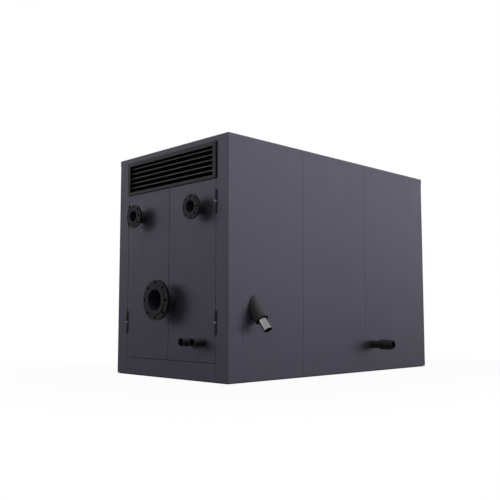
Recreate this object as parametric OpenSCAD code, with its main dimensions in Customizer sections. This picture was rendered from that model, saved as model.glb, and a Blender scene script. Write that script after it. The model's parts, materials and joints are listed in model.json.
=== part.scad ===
// Outdoor gas boiler plant in a sheet-steel cabinet: louvred air inlet and two hinged leaves on the
// front end, with the flanged pipe stubs passing through the leaves and two drain stubs on the right side.
// Frame: +Z up, the front faces -Y, the origin is at ground level under the middle of the cabinet.

/* [Cabinet] */
// Width over the side cladding
cabinet_w = 1596; // [1320:1:2200]
// Length from the front face to the rear face
cabinet_l = 2972; // [2700:1:4000]
// Height from the ground to the roof edge
cabinet_h = 2100; // [1740:1:2600]

/* [Roof] */
// Depth of the roof skirt below the roof edge
skirt_h = 50; // [30:1:90]
// Thickness of the folded skirt
skirt_t = 2; // [1:0.5:5]
// Thickness of the roof sheet at its edge
roof_t = 4; // [2:0.5:10]
// Rise of the roof from its edge to its ridge
roof_rise = 12; // [6:1:40]

/* [Base] */
// Height of the base channel
base_h = 120; // [80:1:140]
// Width of the base channel's flanges
base_flange_w = 60; // [40:1:100]
// Thickness of the base channel's flanges
base_flange_t = 10; // [6:1:16]
// Thickness of the base channel's web
base_web_t = 8; // [5:1:14]
// Width of a cross-member under the floor
cross_w = 80; // [50:1:140]
// Thickness of the floor plate
floor_t = 6; // [3:1:12]
// Gap between the floor plate and what stands beside it
floor_gap = 2; // [0.5:0.5:6]
// Height of the cladding's lower edge above the ground
ground_gap = 6; // [2:1:20]

/* [Cladding] */
// Thickness of a cladding cassette
clad_t = 20; // [14:1:40]
// Gap between two cassettes, behind their chamfered edges
clad_gap = 0.6; // [0.2:0.1:0.9]
// Chamfer on a cassette's outer edges
clad_chamfer = 2; // [1:0.5:4]
// Chamfer on a corner cover's outer edges
cover_chamfer = 0.6; // [0.2:0.1:2]
// Depth of the corner trim in front of the side cladding
trim_depth = 8; // [2:1:14]
// Distance of the first side seam from the front face
seam_1 = 164; // [140:1:176]
// Distance of the second side seam from the front face
seam_2 = 936; // [800:1:1200]
// Distance of the third side seam from the front face
seam_3 = 1876; // [1500:1:2300]

/* [Front frame] */
// Width of a front post beside the doors
post_w = 133; // [90:1:180]
// Depth of a front post, front to back
post_depth = 180; // [178:1:260]
// Wall of the posts' hollow section
post_wall = 5; // [3:1:10]
// Thickness of the posts' solid front plate
front_plate_t = 20; // [18:1:30]
// Side of the square rear posts
rear_post_w = 100; // [70:1:140]
// Height of the sill's top edge
sill_top = 158; // [145:1:220]
// Gap between the sill and the posts
sill_gap = 2; // [1:0.5:4]

/* [Doors] */
// Thickness of a door leaf
door_t = 40; // [30:1:60]
// Gap around a door leaf
door_gap = 3; // [2:0.5:6]
// Gap between a leaf and the sill under it
sill_clearance = 4.5; // [3:0.5:10]
// Chamfer on a leaf's outer edges
door_chamfer = 1.5; // [0.5:0.5:3]

/* [Louvre] */
// Height of the louvre frame
louvre_h = 320; // [260:1:400]
// Overlap of the louvre frame on the front posts
louvre_lap = 7; // [4:1:20]
// How far the louvre frame stands proud of the front face
louvre_proud = 16; // [8:1:30]
// Width of the frame's side borders
border_side = 40; // [30:1:60]
// Width of the frame's top border
border_top = 38; // [26:1:60]
// Width of the frame's bottom border
border_bottom = 27; // [22:1:60]
// Thickness of the neck behind the frame
neck_t = 3; // [2:0.5:6]
// Depth of the neck behind the front face
neck_depth = 54; // [50:1:100]
// Depth by which the frame's borders hide the neck's inside
neck_cover = 10; // [4:1:14]
// Pitch of the blades
blade_pitch = 46.8; // [40:0.1:70]
// Height of the first blade's lip above the frame's lower border
blade_first = 43; // [36:1:60]
// Depth of a blade from its lip to its back edge
blade_depth = 44; // [30:1:48]
// Rise of a blade from its lip to its back edge
blade_rise = 24; // [10:1:30]
// Thickness of a blade
blade_t = 2.5; // [1.5:0.5:5]
// Height of a blade's front lip
lip_h = 7; // [5:0.5:14]

/* [Hinges] */
// Diameter of a hinge barrel
hinge_d = 32; // [16:1:34]
// Length of a hinge over both barrels
hinge_len = 204; // [140:1:260]
// Height of the washer between the barrels
washer_h = 14; // [6:1:24]
// Diameter of the washer
washer_d = 35; // [20:0.5:35]
// Distance of the lower hinges' middle from the leaf's lower edge
hinge_from_low = 337; // [150:1:500]
// Distance of the upper hinges' middle from the leaf's upper edge
hinge_from_high = 197; // [150:1:500]
// Clearance of a seated piece
seat_gap = 0.3; // [0.1:0.05:0.5]

/* [Upper pipes] */
// Outside diameter of the two upper pipes
upper_od = 114.3; // [80:0.1:130]
// Wall of the upper pipes
upper_wall = 2.6; // [2:0.1:8]
// Distance of the left upper pipe from the left post
upper_left_inset = 246; // [150:1:420]
// Distance of the right upper pipe from the right post
upper_right_inset = 200; // [130:1:420]
// Distance of the upper pipes below the leaves' upper edge
upper_drop = 236; // [150:1:400]
// How far the upper pipes' faces stand out of the front face
upper_out = 124; // [70:1:300]
// Diameter of the upper flanges
upper_flange_d = 220; // [200:1:260]
// Thickness of the upper flanges
upper_flange_t = 18; // [10:1:30]
// Bolt circle of the upper flanges
upper_pcd = 180; // [178:1:200]
// Bolt holes of the upper flanges
upper_bolt_d = 18; // [12:1:18]
// Diameter of the upper pipes' welded collars
upper_collar_d = 158; // [140:1:158]
// Thickness of the upper pipes' welded collars
upper_collar_t = 5; // [3:1:20]

/* [Main pipe] */
// Outside diameter of the main pipe
main_od = 219.1; // [160:0.1:230]
// Wall of the main pipe
main_wall = 12.5; // [3:0.1:16]
// Height of the main pipe
main_z = 695; // [600:1:900]
// How far the main pipe's face stands out of the front face
main_out = 158; // [80:1:300]
// Diameter of the main flange
main_flange_d = 360; // [346:1:420]
// Thickness of the main flange
main_flange_t = 28; // [14:1:36]
// Bolt circle of the main flange
main_pcd = 310; // [306:1:324]
// Bolt holes of the main flange
main_bolt_d = 26; // [14:1:30]
// Diameter of the main pipe's welded collar
main_collar_d = 266; // [250:1:282]
// Thickness of the main pipe's welded collar
main_collar_t = 8; // [4:1:24]

/* [Pipe ends] */
// Bolt holes in each flange
bolt_n = 8; // [4:4:12]
// Clearance of a loose flange round its pipe
flange_slack = 1.9; // [1:0.1:4]
// How far the pipes run on behind the leaf or cladding
pipe_inside = 60; // [20:1:150]

/* [Front drain stubs] */
// Outside diameter of the two drain stubs
stub_od = 76.1; // [40:0.1:90]
// Wall of the drain stubs
stub_wall = 2.9; // [2:0.1:6]
// Distance of the outer stub from the right post
stub_inset = 161; // [80:1:260]
// Pitch of the two stubs
stub_pitch = 148; // [100:1:180]
// Height of the stubs
stub_z = 332; // [250:1:380]
// How far the stubs stand out of the front face
stub_out = 122; // [60:1:250]

/* [Inclined side pipe] */
// Slope of the pipe below the horizontal, in degrees
side_tilt = 50; // [20:1:60]
// Outside diameter of the steel pipe
side_od = 76.1; // [40:0.1:90]
// Wall of the steel pipe
side_wall = 2.9; // [2:0.1:6]
// Distance of the pipe behind the first side seam
side_from_seam = 136; // [90:1:500]
// Height where the pipe's axis leaves the cladding
side_z = 637; // [500:1:900]
// Length of the pipe outside the cladding, along its axis
side_out = 261; // [180:1:400]
// Outside diameter of the insulation sleeve
sleeve_od = 120; // [100:1:150]
// Length of the sleeve outside the cladding, along its axis
sleeve_out = 151; // [120:1:170]

/* [Rear side pipe] */
// Outside diameter of the pipe
rear_od = 76.1; // [50:0.1:82]
// Wall of the pipe
rear_wall = 2.9; // [2:0.1:6]
// Distance of the pipe behind the third side seam
rear_from_seam = 117; // [60:1:600]
// Height of the pipe
rear_z = 270; // [200:1:500]
// How far the pipe stands out of the cladding
rear_out = 252; // [242:1:400]
// Outside diameter of the coupling
coupling_od = 100; // [88:1:120]
// Distance of the coupling from the cladding
coupling_from = 100; // [30:1:105]
// Length of the coupling's wide part
coupling_len = 132; // [60:1:134]
// Outside diameter of the coupling's end ring
tip_od = 83; // [83:1:88]
// Chamfer on the coupling's shoulders
coupling_chamfer = 4; // [1:0.5:5]

/* [Hidden] */
$fn = 64;
over = 10;

// Outlines of the cabinet
front_y = -cabinet_l / 2;
rear_y = cabinet_l / 2;
side_x = cabinet_w / 2;
clad_in_x = side_x - clad_t;
frame_front_y = front_y + front_plate_t;
frame_rear_y = rear_y - clad_t;
roof_under = cabinet_h - roof_t;
skirt_low = cabinet_h - skirt_h;
post_x = clad_in_x - post_w;

// Louvre and doors, from the skirt down
louvre_low = skirt_low - louvre_h;
louvre_half = post_x + louvre_lap;
vent_half = louvre_half - border_side;
vent_low = louvre_low + border_bottom;
vent_high = skirt_low - border_top;
neck_half = vent_half + neck_cover;
neck_low = vent_low - neck_cover;
neck_high = vent_high + neck_cover;
blade_n = floor((vent_high - vent_low - blade_first) / blade_pitch) + 1;
door_low = sill_top + sill_clearance;
door_high = louvre_low - door_gap;
door_half = post_x - door_gap;
door_back_y = front_y + door_t;
hinge_x = post_x - door_gap / 2;
hinge_low_z = door_low + hinge_from_low;
hinge_high_z = door_high - hinge_from_high;
barrel_len = (hinge_len - washer_h) / 2;

// Places of the pipes
upper_left_x = upper_left_inset - post_x;
upper_right_x = post_x - upper_right_inset;
upper_z = door_high - upper_drop;
stub_right_x = post_x - stub_inset;
stub_left_x = stub_right_x - stub_pitch;
side_from_front = seam_1 + side_from_seam;
rear_from_front = seam_3 + rear_from_seam;
cross_places = [-1, 0, 1];
seam_half = clad_gap / 2;

function side_seam(distance) = front_y + distance;

// Box between two corners
module block(low, high) {
    translate(low) cube(high - low);
}

// Upright plate seen from above: thickness along +Y, chamfered along both upright outer edges at y = 0
module edge_chamfered(width, height, thickness, chamfer) {
    linear_extrude(height)
        polygon([
            [0, chamfer], [chamfer, 0], [width - chamfer, 0],
            [width, chamfer], [width, thickness], [0, thickness]
        ]);
}

// Tube along +Z from z = 0
module tube(od, wall, length) {
    difference() {
        cylinder(d = od, h = length);
        translate([0, 0, -over]) cylinder(d = od - 2 * wall, h = length + 2 * over);
    }
}

// Turns +Z to point out of the front face, with z = 0 on that face
module out_of_front(x, z) {
    translate([x, front_y, z]) rotate([90, 0, 0]) children();
}

// Turns +Z to point out of the right side, tilted down, with z = 0 on the cladding
module out_of_right(from_front, z, tilt) {
    translate([side_x, side_seam(from_front), z]) rotate([0, 90 + tilt, 0]) children();
}

// Rod of a pipe's seat, through the leaf or cladding
module seat_hole(od) {
    reach = 4 * max(door_t, clad_t) + od;
    translate([0, 0, -reach]) cylinder(d = od + 2 * seat_gap, h = 2 * reach);
}

// Holes for every pipe in the front
module front_holes() {
    out_of_front(upper_left_x, upper_z) seat_hole(upper_od);
    out_of_front(upper_right_x, upper_z) seat_hole(upper_od);
    out_of_front(0, main_z) seat_hole(main_od);
    for (x = [stub_left_x, stub_right_x]) out_of_front(x, stub_z) seat_hole(stub_od);
}

// Holes for both pipes in the right side
module right_holes() {
    out_of_right(side_from_front, side_z, side_tilt) seat_hole(sleeve_od);
    out_of_right(rear_from_front, rear_z, 0) seat_hole(rear_od);
}

// Grooves that seat the hinges in the leaves and posts
module hinge_grooves() {
    for (side = [-1, 1], z = [hinge_low_z, hinge_high_z], size = [[hinge_d, hinge_len], [washer_d, washer_h]])
        translate([side * hinge_x, front_y, z])
            cylinder(d = size[0] + 2 * seat_gap, h = size[1] + 2 * seat_gap, center = true);
}

// Welded channel ring with cross-members under the floor
module base_frame() {
    low = [-clad_in_x, frame_front_y, 0];
    high = [clad_in_x, frame_rear_y, base_h];
    inset = [base_flange_w, base_flange_w, 0];
    web = [base_web_t, base_web_t, 0];
    lip = [0, 0, base_flange_t];
    color("dimgray") union() {
        difference() {
            block(low, high);
            block(low + inset - [0, 0, over], high - inset + [0, 0, over]);
            block(low + web + lip, high - web - lip);
        }
        for (i = cross_places)
            translate([0, (low.y + high.y) / 2 + i * (high.y - low.y) / 4, 0])
                block([low.x + base_web_t, -cross_w / 2, 0], [high.x - base_web_t, cross_w / 2, base_h]);
    }
}

module floor_plate() {
    color("gray") difference() {
        block([-clad_in_x + floor_gap, frame_front_y + floor_gap, base_h],
              [clad_in_x - floor_gap, frame_rear_y - floor_gap, base_h + floor_t]);
        for (side = [-1, 1]) {
            translate([side * (post_x + clad_in_x) / 2, front_y + post_depth / 2, base_h])
                cube([post_w + 2 * floor_gap, post_depth + 2 * floor_gap, 4 * floor_t], center = true);
            translate([side * (clad_in_x - rear_post_w / 2), frame_rear_y - rear_post_w / 2, base_h])
                cube([rear_post_w + 2 * floor_gap, rear_post_w + 2 * floor_gap, 4 * floor_t], center = true);
        }
    }
}

// Low hipped lid whose skirt laps over the tops of the cladding
module roof_cap() {
    half_w = side_x + skirt_t;
    half_l = cabinet_l / 2 + skirt_t;
    run = half_w;
    color("#4a4852") union() {
        difference() {
            block([-half_w, -half_l, skirt_low], [half_w, half_l, cabinet_h]);
            block([-side_x, front_y, skirt_low - over], [side_x, rear_y, roof_under]);
        }
        intersection() {
            translate([0, half_l, cabinet_h]) rotate([90, 0, 0]) linear_extrude(2 * half_l)
                polygon([[-half_w, -roof_t / 2], [half_w, -roof_t / 2], [half_w, 0], [0, roof_rise], [-half_w, 0]]);
            translate([-half_w, 0, cabinet_h]) rotate([90, 0, 90]) linear_extrude(2 * half_w)
                polygon([
                    [-half_l, -roof_t / 2], [half_l, -roof_t / 2], [half_l, 0],
                    [half_l - run, roof_rise], [run - half_l, roof_rise], [-half_l, 0]
                ]);
        }
    }
}

// Hollow column with a solid front plate that runs down past the base to the ground gap
module front_post(side) {
    low_x = side < 0 ? -clad_in_x : post_x;
    high_x = side < 0 ? -post_x : clad_in_x;
    color("#3f3d46") difference() {
        union() {
            block([low_x, front_y, ground_gap], [high_x, frame_front_y, roof_under]);
            block([low_x, frame_front_y, base_h], [high_x, front_y + post_depth, roof_under]);
        }
        block([low_x + post_wall, frame_front_y, base_h - over],
              [high_x - post_wall, front_y + post_depth - post_wall, roof_under + over]);
        hinge_grooves();
    }
}

module rear_post(side) {
    mirror([side < 0 ? 1 : 0, 0, 0])
        color("#3f3d46") difference() {
            block([clad_in_x - rear_post_w, frame_rear_y - rear_post_w, base_h],
                  [clad_in_x, frame_rear_y, roof_under]);
            block([clad_in_x - rear_post_w + post_wall, frame_rear_y - rear_post_w + post_wall, base_h - over],
                  [clad_in_x - post_wall, frame_rear_y - post_wall, roof_under + over]);
        }
}

// Apron plate on the front of the base, between the posts
module front_sill() {
    color("#3f3d46") block([-post_x + sill_gap, front_y, ground_gap], [post_x - sill_gap, frame_front_y, sill_top]);
}

// Bar over the doors that carries the louvre's lower border
module door_head() {
    color("#3f3d46") block([-post_x, front_y, louvre_low], [post_x, front_y + neck_depth, neck_low - neck_t]);
}

// Bar under the roof that carries the louvre's upper border
module front_head() {
    color("#3f3d46") block([-post_x, front_y, neck_high + neck_t], [post_x, front_y + neck_depth, roof_under]);
}

// Closed leaf with the seats of the pipes that pass through it
module door(side) {
    width = door_half - door_gap / 2;
    left = side < 0 ? -door_half : door_gap / 2;
    color("#44424b") difference() {
        translate([left, front_y, door_low])
            edge_chamfered(width, door_high - door_low, door_t, door_chamfer);
        front_holes();
        hinge_grooves();
    }
}

// Face frame with a sheet neck behind it
module louvre_frame() {
    color("#2c2b30") union() {
        difference() {
            block([-louvre_half, front_y - louvre_proud, louvre_low], [louvre_half, front_y, skirt_low]);
            block([-vent_half, front_y - louvre_proud - over, vent_low], [vent_half, front_y + over, vent_high]);
        }
        difference() {
            block([-neck_half - neck_t, front_y - neck_t, neck_low - neck_t],
                  [neck_half + neck_t, front_y + neck_depth, neck_high + neck_t]);
            block([-neck_half, front_y, neck_low], [neck_half, front_y + neck_depth + over, neck_high]);
            block([-vent_half, front_y - over, vent_low], [vent_half, front_y + over, vent_high]);
        }
    }
}

// Sloping weather blades with an upright front lip
module louvre_blades() {
    color("#303036") for (i = [0 : blade_n - 1])
        translate([-neck_half, front_y + neck_t, vent_low + blade_first + i * blade_pitch])
            rotate([90, 0, 90]) linear_extrude(2 * neck_half)
                polygon([
                    [0, -lip_h / 2], [blade_t, -lip_h / 2], [blade_t, lip_h / 2 - blade_t],
                    [blade_depth, blade_rise - blade_t], [blade_depth, blade_rise], [0, lip_h / 2]
                ]);
}

// Two turned barrels with domed outer ends, parted by the washer
module hinge(side, z) {
    dome = hinge_d / 6;
    color("#232327") for (end = [-1, 1])
        translate([side * hinge_x, front_y, z]) mirror([0, 0, end < 0 ? 1 : 0])
            translate([0, 0, washer_h / 2]) rotate_extrude()
                polygon([
                    [0, 0], [hinge_d / 2, 0], [hinge_d / 2, barrel_len - dome],
                    [hinge_d / 2 - dome, barrel_len], [0, barrel_len]
                ]);
}

module hinge_washers() {
    color("#77777d") for (side = [-1, 1], z = [hinge_low_z, hinge_high_z])
        translate([side * hinge_x, front_y, z - washer_h / 2]) cylinder(d = washer_d, h = washer_h);
}

// Folded strip that closes the corner between a front post and the side cladding
module edge_trim(side) {
    mirror([side < 0 ? 1 : 0, 0, 0])
        color("#3a3841") block([clad_in_x, front_y, ground_gap], [side_x, side_seam(trim_depth), roof_under]);
}

// Side cassette between two distances from the front face; pipes pass through the right side only
module side_panel(side, from_front, to_front, chamfer = clad_chamfer) {
    difference() {
        mirror([side < 0 ? 1 : 0, 0, 0])
            translate([side_x, side_seam(from_front), ground_gap]) rotate([0, 0, 90])
                color("#55535f") edge_chamfered(to_front - from_front, roof_under - ground_gap, clad_t, chamfer);
        if (side > 0) right_holes();
    }
}

// Rear cassette on one side of the middle
module rear_panel(side) {
    width = clad_in_x - clad_gap / 2;
    mirror([side < 0 ? 1 : 0, 0, 0])
        translate([clad_in_x, rear_y, ground_gap]) rotate([0, 0, 180])
            color("#44424b") edge_chamfered(width, roof_under - ground_gap, clad_t, clad_chamfer);
}

// Pipe through a leaf, ending in a welded collar
module collared_pipe(od, wall, out, collar_d, collar_t) {
    color("#2a2a2d") difference() {
        union() {
            translate([0, 0, -door_t - pipe_inside]) cylinder(d = od, h = out + door_t + pipe_inside);
            translate([0, 0, out - collar_t]) cylinder(d = collar_d, h = collar_t);
        }
        translate([0, 0, -door_t - pipe_inside - over])
            cylinder(d = od - 2 * wall, h = out + door_t + pipe_inside + 2 * over);
    }
}

// Loose drilled flange that bears on the back of the collar
module loose_flange(od, thickness, bore, pcd, bolt_d) {
    color("#2a2a2d") difference() {
        cylinder(d = od, h = thickness);
        translate([0, 0, -over]) cylinder(d = bore, h = thickness + 2 * over);
        for (i = [0 : bolt_n - 1])
            rotate([0, 0, i * 360 / bolt_n]) translate([0, pcd / 2, -over])
                cylinder(d = bolt_d, h = thickness + 2 * over);
    }
}

module upper_pipe(x) {
    out_of_front(x, upper_z) collared_pipe(upper_od, upper_wall, upper_out, upper_collar_d, upper_collar_t);
}

module upper_flange(x) {
    out_of_front(x, upper_z) translate([0, 0, upper_out - upper_collar_t - upper_flange_t])
        loose_flange(upper_flange_d, upper_flange_t, upper_od + 2 * flange_slack, upper_pcd, upper_bolt_d);
}

module main_pipe() {
    out_of_front(0, main_z) collared_pipe(main_od, main_wall, main_out, main_collar_d, main_collar_t);
}

module main_flange() {
    out_of_front(0, main_z) translate([0, 0, main_out - main_collar_t - main_flange_t])
        loose_flange(main_flange_d, main_flange_t, main_od + 2 * flange_slack, main_pcd, main_bolt_d);
}

module drain_stub(x) {
    color("#2a2a2d") out_of_front(x, stub_z)
        translate([0, 0, -door_t - pipe_inside]) tube(stub_od, stub_wall, stub_out + door_t + pipe_inside);
}

// Bright steel pipe sloping out of the right side
module side_pipe() {
    inside = clad_t / cos(side_tilt) + pipe_inside;
    color("silver") out_of_right(side_from_front, side_z, side_tilt)
        translate([0, 0, -inside]) tube(side_od, side_wall, side_out + inside);
}

// Thick insulation round the sloping pipe
module side_sleeve() {
    inside = clad_t / cos(side_tilt) + pipe_inside;
    color("#3a3a3a") out_of_right(side_from_front, side_z, side_tilt)
        translate([0, 0, -inside])
            tube(sleeve_od, (sleeve_od - side_od) / 2 - seat_gap, sleeve_out + inside);
}

module rear_pipe() {
    color("#232325") out_of_right(rear_from_front, rear_z, 0)
        translate([0, 0, -clad_t - pipe_inside]) tube(rear_od, rear_wall, rear_out + clad_t + pipe_inside);
}

// Turned coupling on the pipe's end, stepped down to its end ring
module rear_coupling() {
    bore_r = rear_od / 2 + seat_gap;
    wide_r = coupling_od / 2;
    wide_end = coupling_from + coupling_len;
    color("#1d1d1f") out_of_right(rear_from_front, rear_z, 0) rotate_extrude()
        polygon([
            [bore_r, coupling_from], [wide_r - coupling_chamfer, coupling_from],
            [wide_r, coupling_from + coupling_chamfer], [wide_r, wide_end - coupling_chamfer],
            [wide_r - coupling_chamfer, wide_end], [tip_od / 2, wide_end],
            [tip_od / 2, rear_out], [bore_r, rear_out]
        ]);
}

base_frame();
floor_plate();
roof_cap();
front_post(-1);  // front_left_post
front_post(1);  // front_right_post
rear_post(-1);  // rear_left_post
rear_post(1);  // rear_right_post
front_sill();
door_head();
front_head();
door(-1);  // left_door
door(1);  // right_door
louvre_frame();
louvre_blades();
hinge(-1, hinge_low_z);  // left_lower_hinge
hinge(-1, hinge_high_z);  // left_upper_hinge
hinge(1, hinge_low_z);  // right_lower_hinge
hinge(1, hinge_high_z);  // right_upper_hinge
hinge_washers();
edge_trim(-1);  // left_edge_trim
side_panel(-1, trim_depth, seam_1 - seam_half, cover_chamfer);  // left_corner_cover
side_panel(-1, seam_1 + seam_half, seam_2 - seam_half);  // left_front_panel
side_panel(-1, seam_2 + seam_half, seam_3 - seam_half);  // left_middle_panel
side_panel(-1, seam_3 + seam_half, cabinet_l);  // left_rear_panel
edge_trim(1);  // right_edge_trim
side_panel(1, trim_depth, seam_1 - seam_half, cover_chamfer);  // right_corner_cover
side_panel(1, seam_1 + seam_half, seam_2 - seam_half);  // right_front_panel
side_panel(1, seam_2 + seam_half, seam_3 - seam_half);  // right_middle_panel
side_panel(1, seam_3 + seam_half, cabinet_l);  // right_rear_panel
rear_panel(-1);  // rear_left_panel
rear_panel(1);  // rear_right_panel
upper_pipe(upper_left_x);  // upper_left_pipe
upper_flange(upper_left_x);  // upper_left_flange
upper_pipe(upper_right_x);  // upper_right_pipe
upper_flange(upper_right_x);  // upper_right_flange
main_pipe();
main_flange();
drain_stub(stub_left_x);  // left_drain_stub
drain_stub(stub_right_x);  // right_drain_stub
side_pipe();
side_sleeve();
rear_pipe();
rear_coupling();
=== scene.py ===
"""Outdoor gas boiler cabinet: finishes, small trim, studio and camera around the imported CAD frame."""
import json
import math

import bmesh
import bpy
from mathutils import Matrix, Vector


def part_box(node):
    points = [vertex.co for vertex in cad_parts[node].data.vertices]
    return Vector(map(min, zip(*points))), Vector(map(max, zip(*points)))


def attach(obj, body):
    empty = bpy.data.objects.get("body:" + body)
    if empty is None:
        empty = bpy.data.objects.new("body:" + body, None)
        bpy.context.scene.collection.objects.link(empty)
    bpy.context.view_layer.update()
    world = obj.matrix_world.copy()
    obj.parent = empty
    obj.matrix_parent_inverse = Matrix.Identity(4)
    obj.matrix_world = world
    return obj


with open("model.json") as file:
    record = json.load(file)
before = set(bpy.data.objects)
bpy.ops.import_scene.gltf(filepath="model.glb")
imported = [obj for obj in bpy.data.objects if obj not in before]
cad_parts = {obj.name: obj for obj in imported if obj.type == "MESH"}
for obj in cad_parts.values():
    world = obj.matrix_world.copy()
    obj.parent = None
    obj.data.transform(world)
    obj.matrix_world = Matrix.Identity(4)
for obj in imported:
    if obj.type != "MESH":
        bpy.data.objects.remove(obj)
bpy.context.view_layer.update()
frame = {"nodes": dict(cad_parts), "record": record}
nodes = frame["nodes"]
mounts = {mount["name"]: mount for mount in frame["record"]["mounts"]}
MM = 0.001

# Camera of the photograph: place, heading in degrees left of +Y, upward tilt, and lens on a 36 mm sensor
CAMERA_PLACE = Vector((5.0369, -5.3681, 0.5560))
CAMERA_HEADING = 45.71
CAMERA_TILT = 5.40
CAMERA_LENS = 50.1
CAMERA_SENSOR = 36.0

# Colours of the finishes and the studio, linear
VIOLET_GREY = (0.094, 0.090, 0.122)
# Corner trims a little darker than the cabinet paint: painted shade
TRIM_SHADED_GREY = (0.085, 0.081, 0.110)
CHARCOAL = (0.0225, 0.0220, 0.0255)
LOUVRE_GREY = (0.0245, 0.0245, 0.0292)
# Louvre blades lighter than the louvre frame: painted light on the blade lips
BLADE_LIT_GREY = (0.055, 0.055, 0.061)
HINGE_BLACK = (0.062, 0.062, 0.072)
ZINC = (0.13, 0.13, 0.14)
GALVANISED = (0.25, 0.25, 0.26)
FOAM_GREY = (0.096, 0.096, 0.098)
RUBBER_BLACK = (0.0420, 0.0420, 0.0460)
# Colours of the drain stubs, pipes and coupling below and on top; their paler tops are painted light from
# above
STUB_TOP_LIGHT = (0.16, 0.153, 0.188)
PIPE_SHADE = (0.066, 0.064, 0.070)
PIPE_TOP_LIGHT = (0.155, 0.150, 0.176)
RUBBER_TOP_LIGHT = (0.105, 0.102, 0.118)
PRIMER = (0.030, 0.030, 0.032)
FLOOR_GREY = (0.060, 0.060, 0.063)
CUT_FOAM = (0.012, 0.012, 0.014)
CUT_STEEL = (0.075, 0.074, 0.078)
MASTIC_GREY = (0.030, 0.030, 0.033)
FLANGE_SCALE = (0.060, 0.057, 0.078)
SCALE_GREY = (0.026, 0.025, 0.034)
# Near-black lining of the bolt holes and of the steel pipe's bore and end: painted shade
PAINTED_SHADE_BLACK = (0.0025, 0.0025, 0.0030)
STAGE_GREY = (0.12, 0.12, 0.12)
WHITE = (1, 1, 1)


# Materials

# Values between which most of a noise texture lies
NOISE_LOW = 0.3
NOISE_HIGH = 0.7
# Clouds in a coating are drawn out along the height
CLOUD_STRETCH = (1, 1, 0.4)
# Change of roughness over a coating, either way, in patches so many times finer than the clouds
GLOSS_SPREAD = 0.05
GLOSS_FINENESS = 5
# Upward share of the normal at which the paler top, painted light from above, begins and is whole
TOP_LIGHT_FROM = -0.35
TOP_LIGHT_WHOLE = 0.85
TOP_LIGHT_GRAIN = 60.0
TOP_LIGHT_SPREAD = 0.12
# Share of the normal along a pipe from which a face counts as its end
END_FACING = 0.6


def node_material(name):
    """A new node material, its tree, its shader and its object coordinates."""
    material = bpy.data.materials.new(name)
    material.use_nodes = True
    tree = material.node_tree
    shader = tree.nodes["Principled BSDF"]
    place = tree.nodes.new("ShaderNodeTexCoord").outputs["Object"]
    return material, tree, shader, place


def reckon(tree, operation, first, second=None):
    """The result of a math node on one value, or on a value and another value or number."""
    step = tree.nodes.new("ShaderNodeMath")
    step.operation = operation
    tree.links.new(first, step.inputs[0])
    if isinstance(second, (int, float)):
        step.inputs[1].default_value = second
    elif second:
        tree.links.new(second, step.inputs[1])
    return step.outputs["Value"]


def noise(tree, place, scale, detail=3.0, stretch=(1, 1, 1)):
    """Noise value over the object's own coordinates, stretched along each axis."""
    mapping = tree.nodes.new("ShaderNodeMapping")
    mapping.inputs["Scale"].default_value = stretch
    tree.links.new(place, mapping.inputs["Vector"])
    texture = tree.nodes.new("ShaderNodeTexNoise")
    texture.inputs["Scale"].default_value = scale
    texture.inputs["Detail"].default_value = detail
    tree.links.new(mapping.outputs["Vector"], texture.inputs["Vector"])
    return texture.outputs["Fac"]


def remap(tree, value, low, high):
    """A noise value spread over low to high."""
    spread = tree.nodes.new("ShaderNodeMapRange")
    spread.inputs["From Min"].default_value = NOISE_LOW
    spread.inputs["From Max"].default_value = NOISE_HIGH
    spread.inputs["To Min"].default_value = low
    spread.inputs["To Max"].default_value = high
    tree.links.new(value, spread.inputs["Value"])
    return spread.outputs["Result"]


def tint(tree, value, colour, spread):
    """The colour made darker and lighter by the share spread, following a noise value."""
    ramp = tree.nodes.new("ShaderNodeValToRGB")
    dark, light = ramp.color_ramp.elements
    dark.position = NOISE_LOW
    light.position = NOISE_HIGH
    dark.color = [c * (1 - spread) for c in colour] + [1]
    light.color = [c * (1 + spread) for c in colour] + [1]
    tree.links.new(value, ramp.inputs["Fac"])
    return ramp.outputs["Color"]


def relief(tree, height, depth):
    """A bump of the given depth in metres."""
    bump = tree.nodes.new("ShaderNodeBump")
    bump.inputs["Strength"].default_value = 1.0
    bump.inputs["Distance"].default_value = depth
    tree.links.new(height, bump.inputs["Height"])
    return bump.outputs["Normal"]


def blend(tree, share, first, second):
    """The first colour turned into the second by a share."""
    mix = tree.nodes.new("ShaderNodeMixRGB")
    tree.links.new(share, mix.inputs["Fac"])
    tree.links.new(first, mix.inputs["Color1"])
    tree.links.new(second, mix.inputs["Color2"])
    return mix.outputs["Color"]


def coating(name, colour, rough, spread=0.025, peel=420.0, peel_depth=0.0003, metallic=0.0, specular=0.05,
            mottle=1.7):
    """Sprayed or cast surface: cloudy tint, uneven gloss and a fine pebbled skin."""
    material, tree, shader, place = node_material(name)
    cloud = noise(tree, place, mottle, detail=4.0, stretch=CLOUD_STRETCH)
    tree.links.new(tint(tree, cloud, colour, spread), shader.inputs["Base Color"])
    patch = noise(tree, place, mottle * GLOSS_FINENESS, stretch=CLOUD_STRETCH)
    gloss = remap(tree, patch, rough - GLOSS_SPREAD, rough + GLOSS_SPREAD)
    tree.links.new(gloss, shader.inputs["Roughness"])
    skin = relief(tree, noise(tree, place, peel, detail=2.0), peel_depth)
    tree.links.new(skin, shader.inputs["Normal"])
    shader.inputs["Metallic"].default_value = metallic
    shader.inputs["Specular IOR Level"].default_value = specular
    return material


def scale_and_shade_coat(name, colour):
    """Rough dark coat inside a bore or hole: mill scale in the pipe bores, painted shade in the bolt holes
    and the steel pipe.
    """
    return coating(name, colour, 0.8, spread=0.3, peel=500.0, mottle=30.0)


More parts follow.
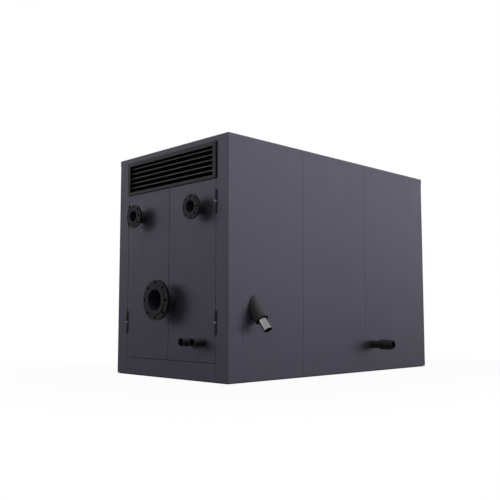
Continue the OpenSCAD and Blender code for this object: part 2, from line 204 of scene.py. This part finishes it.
def painted_top_light(material, along, under, top):
    """Paints light from above on a coated pipe along an axis: one colour below, a paler top as painted
    light, its ends as coated.
    """
    tree = material.node_tree
    shader = tree.nodes["Principled BSDF"]
    place = tree.nodes["Texture Coordinate"].outputs["Object"]
    facing = tree.nodes.new("ShaderNodeSeparateXYZ")
    tree.links.new(tree.nodes.new("ShaderNodeNewGeometry").outputs["Normal"], facing.inputs["Vector"])
    cover = tree.nodes.new("ShaderNodeMapRange")
    cover.interpolation_type = "SMOOTHSTEP"
    cover.inputs["From Min"].default_value = TOP_LIGHT_FROM
    cover.inputs["From Max"].default_value = TOP_LIGHT_WHOLE
    tree.links.new(facing.outputs["Z"], cover.inputs["Value"])
    grain = noise(tree, place, TOP_LIGHT_GRAIN)
    top_lit = blend(tree, cover.outputs["Result"],
                      tint(tree, grain, under, TOP_LIGHT_SPREAD), tint(tree, grain, top, TOP_LIGHT_SPREAD))
    ends = reckon(tree, "GREATER_THAN", reckon(tree, "ABSOLUTE", facing.outputs[along]), END_FACING)
    coated = shader.inputs["Base Color"].links[0].from_socket
    tree.links.new(blend(tree, ends, top_lit, coated), shader.inputs["Base Color"])
    return material


def paint(node, material):
    """Gives a CAD piece one material."""
    mesh = nodes[node].data
    mesh.materials.clear()
    mesh.materials.append(material)


# One finish for each material slot of the record
finish = {
    "cabinet_paint": coating("cabinet_paint", VIOLET_GREY, 0.55),
    # Corner trims darker than the cabinet paint: painted shade
    "trim_paint": coating("trim_paint", TRIM_SHADED_GREY, 0.55),
    "louvre_paint": coating("louvre_paint", LOUVRE_GREY, 0.5),
    "pipe_paint": coating("pipe_paint", CHARCOAL, 0.6, spread=0.10, peel=300.0, peel_depth=0.0006,
                          mottle=9.0),
    "hinge_black": coating("hinge_black", HINGE_BLACK, 0.5, spread=0.12, mottle=14.0),
    "washer_steel": coating("washer_steel", ZINC, 0.45, spread=0.15, mottle=40.0, metallic=0.6),
    "pipe_steel": coating("pipe_steel", GALVANISED, 0.22, spread=0.10, mottle=26.0, metallic=0.85,
                          specular=0.3),
    "insulation": coating("insulation", FOAM_GREY, 0.85, spread=0.10, peel=700.0, peel_depth=0.0008,
                          mottle=12.0),
    "coupling_black": coating("coupling_black", RUBBER_BLACK, 0.7, spread=0.10, peel=500.0, mottle=12.0),
    "base_primer": coating("base_primer", PRIMER, 0.7, spread=0.12, mottle=3.0),
    "floor_steel": coating("floor_steel", FLOOR_GREY, 0.65, spread=0.12, mottle=3.0),
}
for part in frame["record"]["subparts"]:
    paint(part["node"], finish[part["material_slot"]])
# Louvre blades in a lighter copy of the louvre paint: painted light on their lips
paint("louvre_blades", coating("blade_lit_paint", BLADE_LIT_GREY, 0.45))
# Paler tops on the drain stubs, pipes and rear coupling: painted light from above
for along, under, top, pipes in (
        ("Y", CHARCOAL, STUB_TOP_LIGHT, ("left_drain_stub", "right_drain_stub")),
        ("Y", PIPE_SHADE, PIPE_TOP_LIGHT, ("upper_left_pipe", "upper_right_pipe", "main_pipe")),
        ("X", RUBBER_BLACK, RUBBER_TOP_LIGHT, ("rear_pipe", "rear_coupling"))):
    top_lit_paint = painted_top_light(nodes[pipes[0]].data.materials[0].copy(), along, under, top)
    for pipe in pipes:
        paint(pipe, top_lit_paint)

# Soft edges on the CAD pieces: joins the loaded faces, then rounds every sharp edge
WELD_REACH = 0.01 * MM
EDGE_ROUNDING = 1.2 * MM
EDGE_STEPS = 2
EDGE_SHARP = math.radians(40)
for piece in nodes.values():
    weld = piece.modifiers.new("weld", "WELD")
    weld.merge_threshold = WELD_REACH
    bevel = piece.modifiers.new("edges", "BEVEL")
    bevel.width = EDGE_ROUNDING
    bevel.segments = EDGE_STEPS
    bevel.limit_method = "ANGLE"
    bevel.angle_limit = EDGE_SHARP
    bevel.harden_normals = True


# Trim that rides on the cabinet

# Corners round a pipe and round a bolt hole
PIPE_ROUND = 64
HOLE_ROUND = 24
TRIM_SHARP = math.radians(35)


def turned(mesh, centre, axis, profile, around=PIPE_ROUND):
    """Adds a turned ring: a closed profile of (distance along the axis, radius) carried round the axis."""
    centre, axis = Vector(centre), Vector(axis).normalized()
    side = axis.orthogonal().normalized()
    up = axis.cross(side)
    turns = [2 * math.pi * k / around for k in range(around)]
    rings = [[mesh.verts.new(centre + axis * along + radius * (side * math.cos(turn) + up * math.sin(turn)))
              for turn in turns] for along, radius in profile]
    for first, second in zip(rings, rings[1:] + rings[:1]):
        for k in range(around):
            mesh.faces.new((first[k], first[(k + 1) % around], second[(k + 1) % around], second[k]))


def lining(mesh, centre, axis, radius, mouth, deep, wall, around=PIPE_ROUND):
    """Adds a thin tube inside a bore, from its mouth to a depth."""
    turned(mesh, centre, axis,
           [(-mouth, radius), (-deep, radius), (-deep, radius - wall), (-mouth, radius - wall)], around)


def end_ring(mesh, centre, axis, inner, outer, lift, top, chamfer=0.0):
    """Adds a thin ring on an end face, from lift to top above it."""
    turned(mesh, centre, axis, [(lift, inner), (lift, outer), (top, outer - chamfer), (top, inner)])


def prism(mesh, first, second):
    """Adds the solid between two outlines of the same number of corners."""
    first = [mesh.verts.new(corner) for corner in first]
    second = [mesh.verts.new(corner) for corner in second]
    mesh.faces.new(first)
    mesh.faces.new(second)
    for k in range(len(first)):
        mesh.faces.new((first[k - 1], first[k], second[k], second[k - 1]))


def trim(name, mesh, material):
    """Makes a piece of the finished mesh, in its material, that rides on the cabinet."""
    bmesh.ops.recalc_face_normals(mesh, faces=mesh.faces)
    data = bpy.data.meshes.new(name)
    mesh.to_mesh(data)
    mesh.free()
    data.shade_smooth()
    data.set_sharp_from_angle(angle=TRIM_SHARP)
    data.materials.append(material)
    piece = bpy.data.objects.new(name, data)
    bpy.context.scene.collection.objects.link(piece)
    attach(piece, "root")


def half_across(box, axis):
    """Half of a box's extent along an axis: the radius of a pipe that lies across it."""
    low, high = box
    return (high - low)[axis] / 2


X, Y = 0, 1
side_bore = mounts["side_bore"]
side_axis = Vector(side_bore["axis"])
side_end = Vector(side_bore["pos_m"])

# Dark linings inside the bores and bolt holes, thin tubes just clear of the walls: mill scale in the flanged
# pipes and drain stubs, near-black painted shade in the bolt holes and the steel pipe
BORE_CLEAR = 0.3 * MM
BORE_MOUTH = 1.5 * MM
BORE_SHORT = 2.0 * MM
BORE_WALL = 0.5 * MM
HOLE_CLEAR = 0.2 * MM
HOLE_MOUTH = 0.8 * MM
HOLE_WALL = 0.4 * MM
flange_lining, stub_lining, hole_lining = bmesh.new(), bmesh.new(), bmesh.new()
for mount in mounts.values():
    dims = mount["dims"]
    if mount["kind"] == "bore":
        flanged = mount["name"].replace("_bore", "_bolts") in mounts
        bare = hole_lining if mount["name"] == "side_bore" else stub_lining
        lining(flange_lining if flanged else bare, mount["pos_m"], mount["axis"],
               dims["r_mm"] * MM - BORE_CLEAR, BORE_MOUTH, dims["length_mm"] * MM - BORE_SHORT, BORE_WALL)
    if mount["kind"] == "bolt_pattern":
        low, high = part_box(mount["name"].replace("_bolts", "_flange"))
        deep = (high - low).y - HOLE_MOUTH
        circle = dims["pcd_mm"] * MM / 2
        for k in range(dims["count"]):
            turn = 2 * math.pi * k / dims["count"]
            hole = Vector(mount["pos_m"]) + circle * Vector((math.sin(turn), 0, math.cos(turn)))
            lining(hole_lining, hole, mount["axis"], dims["hole_r_mm"] * MM - HOLE_CLEAR,
                   HOLE_MOUTH, deep, HOLE_WALL, HOLE_ROUND)

# Cut ends, thin rings on the end faces: near-black painted shade on the steel pipe, dark on the sleeve, bare
# steel on the drain stubs
RING_LIFT = 0.05 * MM
RING_TOP = 0.4 * MM
RING_INSET = 0.5 * MM
STEEL_CLEAR = 0.2 * MM
STEEL_CHAMFER = 0.3 * MM
STUB_CLEAR = 0.3 * MM
SLEEVE_LIFT = 0.1 * MM
SLEEVE_TOP = 0.6 * MM
SLEEVE_CLEAR = 0.4 * MM
end_ring(hole_lining, side_end, side_axis, side_bore["dims"]["r_mm"] * MM + STEEL_CLEAR,
         half_across(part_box("side_pipe"), Y) - RING_INSET, RING_LIFT, RING_TOP, STEEL_CHAMFER)
trim("bore_linings", flange_lining, scale_and_shade_coat("bore_scale", FLANGE_SCALE))
trim("stub_linings", stub_lining, scale_and_shade_coat("stub_scale", SCALE_GREY))
# Bolt holes and the steel pipe's bore and end ring: near-black painted shade
trim("hole_linings", hole_lining, scale_and_shade_coat("hole_painted_shade", PAINTED_SHADE_BLACK))

cut_rings = bmesh.new()
for side in ("left", "right"):
    bore = mounts[f"{side}_drain_bore"]
    end_ring(cut_rings, bore["pos_m"], bore["axis"], bore["dims"]["r_mm"] * MM + STUB_CLEAR,
             half_across(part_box(f"{side}_drain_stub"), X) - RING_INSET, RING_LIFT, RING_TOP)
trim("stub_cut_ends", cut_rings, coating("cut_steel", CUT_STEEL, 0.5, spread=0.2, mottle=60.0, metallic=0.3))

# The sleeve's lowest point is on the rim of its end face, which gives the height of that face's middle
sleeve_low, sleeve_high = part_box("side_sleeve")
sleeve_radius = (sleeve_high - sleeve_low).y / 2
end_height = sleeve_low.z + sleeve_radius * side_axis.x
sleeve_end = side_end + side_axis * ((end_height - side_end.z) / side_axis.z)
cut_end = bmesh.new()
end_ring(cut_end, sleeve_end, side_axis, half_across(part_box("side_pipe"), Y) + SLEEVE_CLEAR,
         sleeve_radius - SLEEVE_CLEAR, SLEEVE_LIFT, SLEEVE_TOP, SLEEVE_CLEAR)
trim("sleeve_cut_end", cut_end,
     coating("cut_foam", CUT_FOAM, 0.9, spread=0.25, peel=900.0, peel_depth=0.001, mottle=40.0))

# Painted filler in the grooves of the cladding seams; the chamfers are those of the CAD panels
PANEL_CHAMFER = 2.0 * MM
COVER_CHAMFER = 0.6 * MM
SEAM_BITE = 0.1 * MM
SEAM_SHORT = 1.0 * MM
CORNER_SEAM_DEPTH = 0.8 * MM
FRONT_SEAM_DEPTH = 1.9 * MM
PLAIN_SEAM_DEPTH = 1.1 * MM


def seam(mesh, before, after, along, chamfer, depth):
    """Fills the groove between two panels that meet along an axis, to a depth below their outer faces."""
    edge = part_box(before)[1][along]
    low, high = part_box(after)
    through = 1 - along
    outward = 1 if low[through] + high[through] > 0 else -1
    face = max(abs(low[through]), abs(high[through]))
    foot = face - 2 * PANEL_CHAMFER
    outline = [(face - depth, edge - (chamfer - depth) + SEAM_BITE),
               (face - depth, low[along] + (PANEL_CHAMFER - depth) - SEAM_BITE),
               (foot, low[along] - SEAM_BITE), (foot, edge + SEAM_BITE)]
    outline = [(outward * out, place) if along else (place, outward * out) for out, place in outline]
    prism(mesh, [(*corner, low.z + SEAM_SHORT) for corner in outline],
          [(*corner, high.z - SEAM_SHORT) for corner in outline])


filler = bmesh.new()
for side in ("left", "right"):
    for before, after, chamfer, depth in (("corner_cover", "front_panel", COVER_CHAMFER, CORNER_SEAM_DEPTH),
                                          ("front_panel", "middle_panel", PANEL_CHAMFER, FRONT_SEAM_DEPTH),
                                          ("middle_panel", "rear_panel", PANEL_CHAMFER, PLAIN_SEAM_DEPTH)):
        seam(filler, f"{side}_{before}", f"{side}_{after}", Y, chamfer, depth)
seam(filler, "rear_left_panel", "rear_right_panel", X, PANEL_CHAMFER, PLAIN_SEAM_DEPTH)
trim("seam_filler", filler, finish["cabinet_paint"])

# Mastic on the roof joint, which runs over the roof from skirt to skirt, above the middle side seam
ROOF_RISE = 12 * MM
JOINT_HALF = 1.3 * MM
JOINT_LIFT = 0.05 * MM
JOINT_THICK = 0.4 * MM
roof_low, roof_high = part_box("roof_cap")
joint_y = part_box("right_middle_panel")[0].y
eaves = roof_high.z - ROOF_RISE
roof_line = [(roof_high.x, roof_low.z), (roof_high.x, eaves), (0.0, roof_high.z),
             (roof_low.x, eaves), (roof_low.x, roof_low.z)]
mastic = bmesh.new()
for (x0, z0), (x1, z1) in zip(roof_line, roof_line[1:]):
    away = Vector((z0 - z1, 0, x1 - x0)).normalized()
    away = away if away.z > 0 or away.x * x0 > 0 else -away
    foot = [Vector((x, joint_y + edge * JOINT_HALF, z)) + JOINT_LIFT * away
            for x, z, edge in ((x0, z0, -1), (x1, z1, -1), (x1, z1, 1), (x0, z0, 1))]
    prism(mastic, foot, [corner + JOINT_THICK * away for corner in foot])
trim("roof_joint", mastic, coating("joint_mastic", MASTIC_GREY, 0.7, spread=0.15, mottle=30.0))


# Studio: white surroundings, broad lamps and a floor that is white away from the cabinet

def white_to_the_eye(tree, lit, share_of_white=None):
    """Mixes a lit shader with plain white for rays from the camera, off gloss or through glass."""
    rays = tree.nodes.new("ShaderNodeLightPath")
    share = rays.outputs["Is Camera Ray"]
    for kind in ("Is Glossy Ray", "Is Transmission Ray"):
        share = reckon(tree, "MAXIMUM", share, rays.outputs[kind])
    if share_of_white:
        share = reckon(tree, "MULTIPLY", share, share_of_white)
    white = tree.nodes.new("ShaderNodeEmission")
    white.inputs["Color"].default_value = (*WHITE, 1)
    mix = tree.nodes.new("ShaderNodeMixShader")
    tree.links.new(share, mix.inputs["Fac"])
    tree.links.new(lit, mix.inputs[1])
    tree.links.new(white.outputs["Emission"], mix.inputs[2])
    return mix.outputs["Shader"]


# Strength of the surroundings at the horizon and overhead
AMBIENT = 0.05
ZENITH = 0.42
world = bpy.data.worlds.new("studio")
bpy.context.scene.world = world
world.use_nodes = True
sky = world.node_tree
background = sky.nodes["Background"]
background.inputs["Color"].default_value = (*WHITE, 1)
way = sky.nodes.new("ShaderNodeSeparateXYZ")
sky.links.new(sky.nodes.new("ShaderNodeTexCoord").outputs["Generated"], way.inputs["Vector"])
overhead = sky.nodes.new("ShaderNodeMapRange")
overhead.inputs["To Min"].default_value = AMBIENT
overhead.inputs["To Max"].default_value = ZENITH
sky.links.new(way.outputs["Z"], overhead.inputs["Value"])
sky.links.new(overhead.outputs["Result"], background.inputs["Strength"])
sky.links.new(
    white_to_the_eye(sky, background.outputs["Background"]), sky.nodes["World Output"].inputs["Surface"])


def lamp(name, place, aim, size, watts, spread=180):
    """Square soft box at a place, pointing at aim, its light held within the spread in degrees."""
    data = bpy.data.lights.new(name, "AREA")
    data.size = size
    data.energy = watts
    data.spread = math.radians(spread)
    holder = bpy.data.objects.new(name, data)
    holder.location = place
    holder.rotation_euler = (Vector(aim) - Vector(place)).to_track_quat("-Z", "Y").to_euler()
    holder.visible_camera = False
    bpy.context.scene.collection.objects.link(holder)


lamp("key", place=(10.8, 7.2, 4.0), aim=(0.8, -0.1, 6.5), size=13.0, watts=1245, spread=62)
lamp("front", place=(-7.0, -10.8, 9.8), aim=(0.3, -1.5, 10.4), size=16.0, watts=920, spread=72)
lamp("back", place=(-5.0, 4.5, 5.0), aim=(0.0, 0.5, 1.2), size=4.0, watts=300)

# Share of plain white in the floor: beside the cabinet, at SHADOW_REACH from it, whole from SHADOW_END on
SHADOW_NEAR = 0.0
SHADOW_WHITE = 0.965
SHADOW_REACH = 0.012
SHADOW_END = 2.4
FLOOR_HALF = 40.0
FLOOR_ROUGH = 0.9
floor_mesh = bpy.data.meshes.new("floor")
corners = [(x * FLOOR_HALF, y * FLOOR_HALF, 0) for x, y in ((-1, -1), (1, -1), (1, 1), (-1, 1))]
floor_mesh.from_pydata(corners, [], [(0, 1, 2, 3)])
floor = bpy.data.objects.new("floor", floor_mesh)
bpy.context.scene.collection.objects.link(floor)
floor_material, floor_tree, floor_shader, beyond = node_material("floor")
floor_shader.inputs["Base Color"].default_value = (*STAGE_GREY, 1)
floor_shader.inputs["Roughness"].default_value = FLOOR_ROUGH
floor_shader.inputs["Specular IOR Level"].default_value = 0.0

# Distance of a point of the floor from the cabinet's footprint
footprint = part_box("roof_cap")[1].xy
for operation, corner in (("ABSOLUTE", (0, 0, 0)), ("SUBTRACT", (*footprint, 0)), ("MAXIMUM", (0, 0, 0))):
    step = floor_tree.nodes.new("ShaderNodeVectorMath")
    step.operation = operation
    floor_tree.links.new(beyond, step.inputs[0])
    step.inputs[1].default_value = corner
    beyond = step.outputs["Vector"]
reach = floor_tree.nodes.new("ShaderNodeVectorMath")
reach.operation = "LENGTH"
floor_tree.links.new(beyond, reach.inputs[0])

fade = floor_tree.nodes.new("ShaderNodeValToRGB")
fade.color_ramp.interpolation = "EASE"
fade.color_ramp.elements[0].color = (SHADOW_NEAR, SHADOW_NEAR, SHADOW_NEAR, 1)
fade.color_ramp.elements[1].color = (*WHITE, 1)
middle = fade.color_ramp.elements.new(SHADOW_REACH / SHADOW_END)
middle.color = (SHADOW_WHITE, SHADOW_WHITE, SHADOW_WHITE, 1)
floor_tree.links.new(reckon(floor_tree, "DIVIDE", reach.outputs["Value"], SHADOW_END), fade.inputs["Fac"])
floor_tree.links.new(
    white_to_the_eye(floor_tree, floor_shader.outputs["BSDF"], fade.outputs["Color"]),
    floor_tree.nodes["Material Output"].inputs["Surface"])
floor_mesh.materials.append(floor_material)

camera_data = bpy.data.cameras.new("camera")
camera_data.lens = CAMERA_LENS
camera_data.sensor_width = CAMERA_SENSOR
camera = bpy.data.objects.new("camera", camera_data)
camera.location = CAMERA_PLACE
camera.rotation_euler = (math.radians(90 + CAMERA_TILT), 0.0, math.radians(CAMERA_HEADING))
bpy.context.scene.collection.objects.link(camera)
bpy.context.scene.camera = camera
bpy.context.scene.view_settings.view_transform = "Standard"
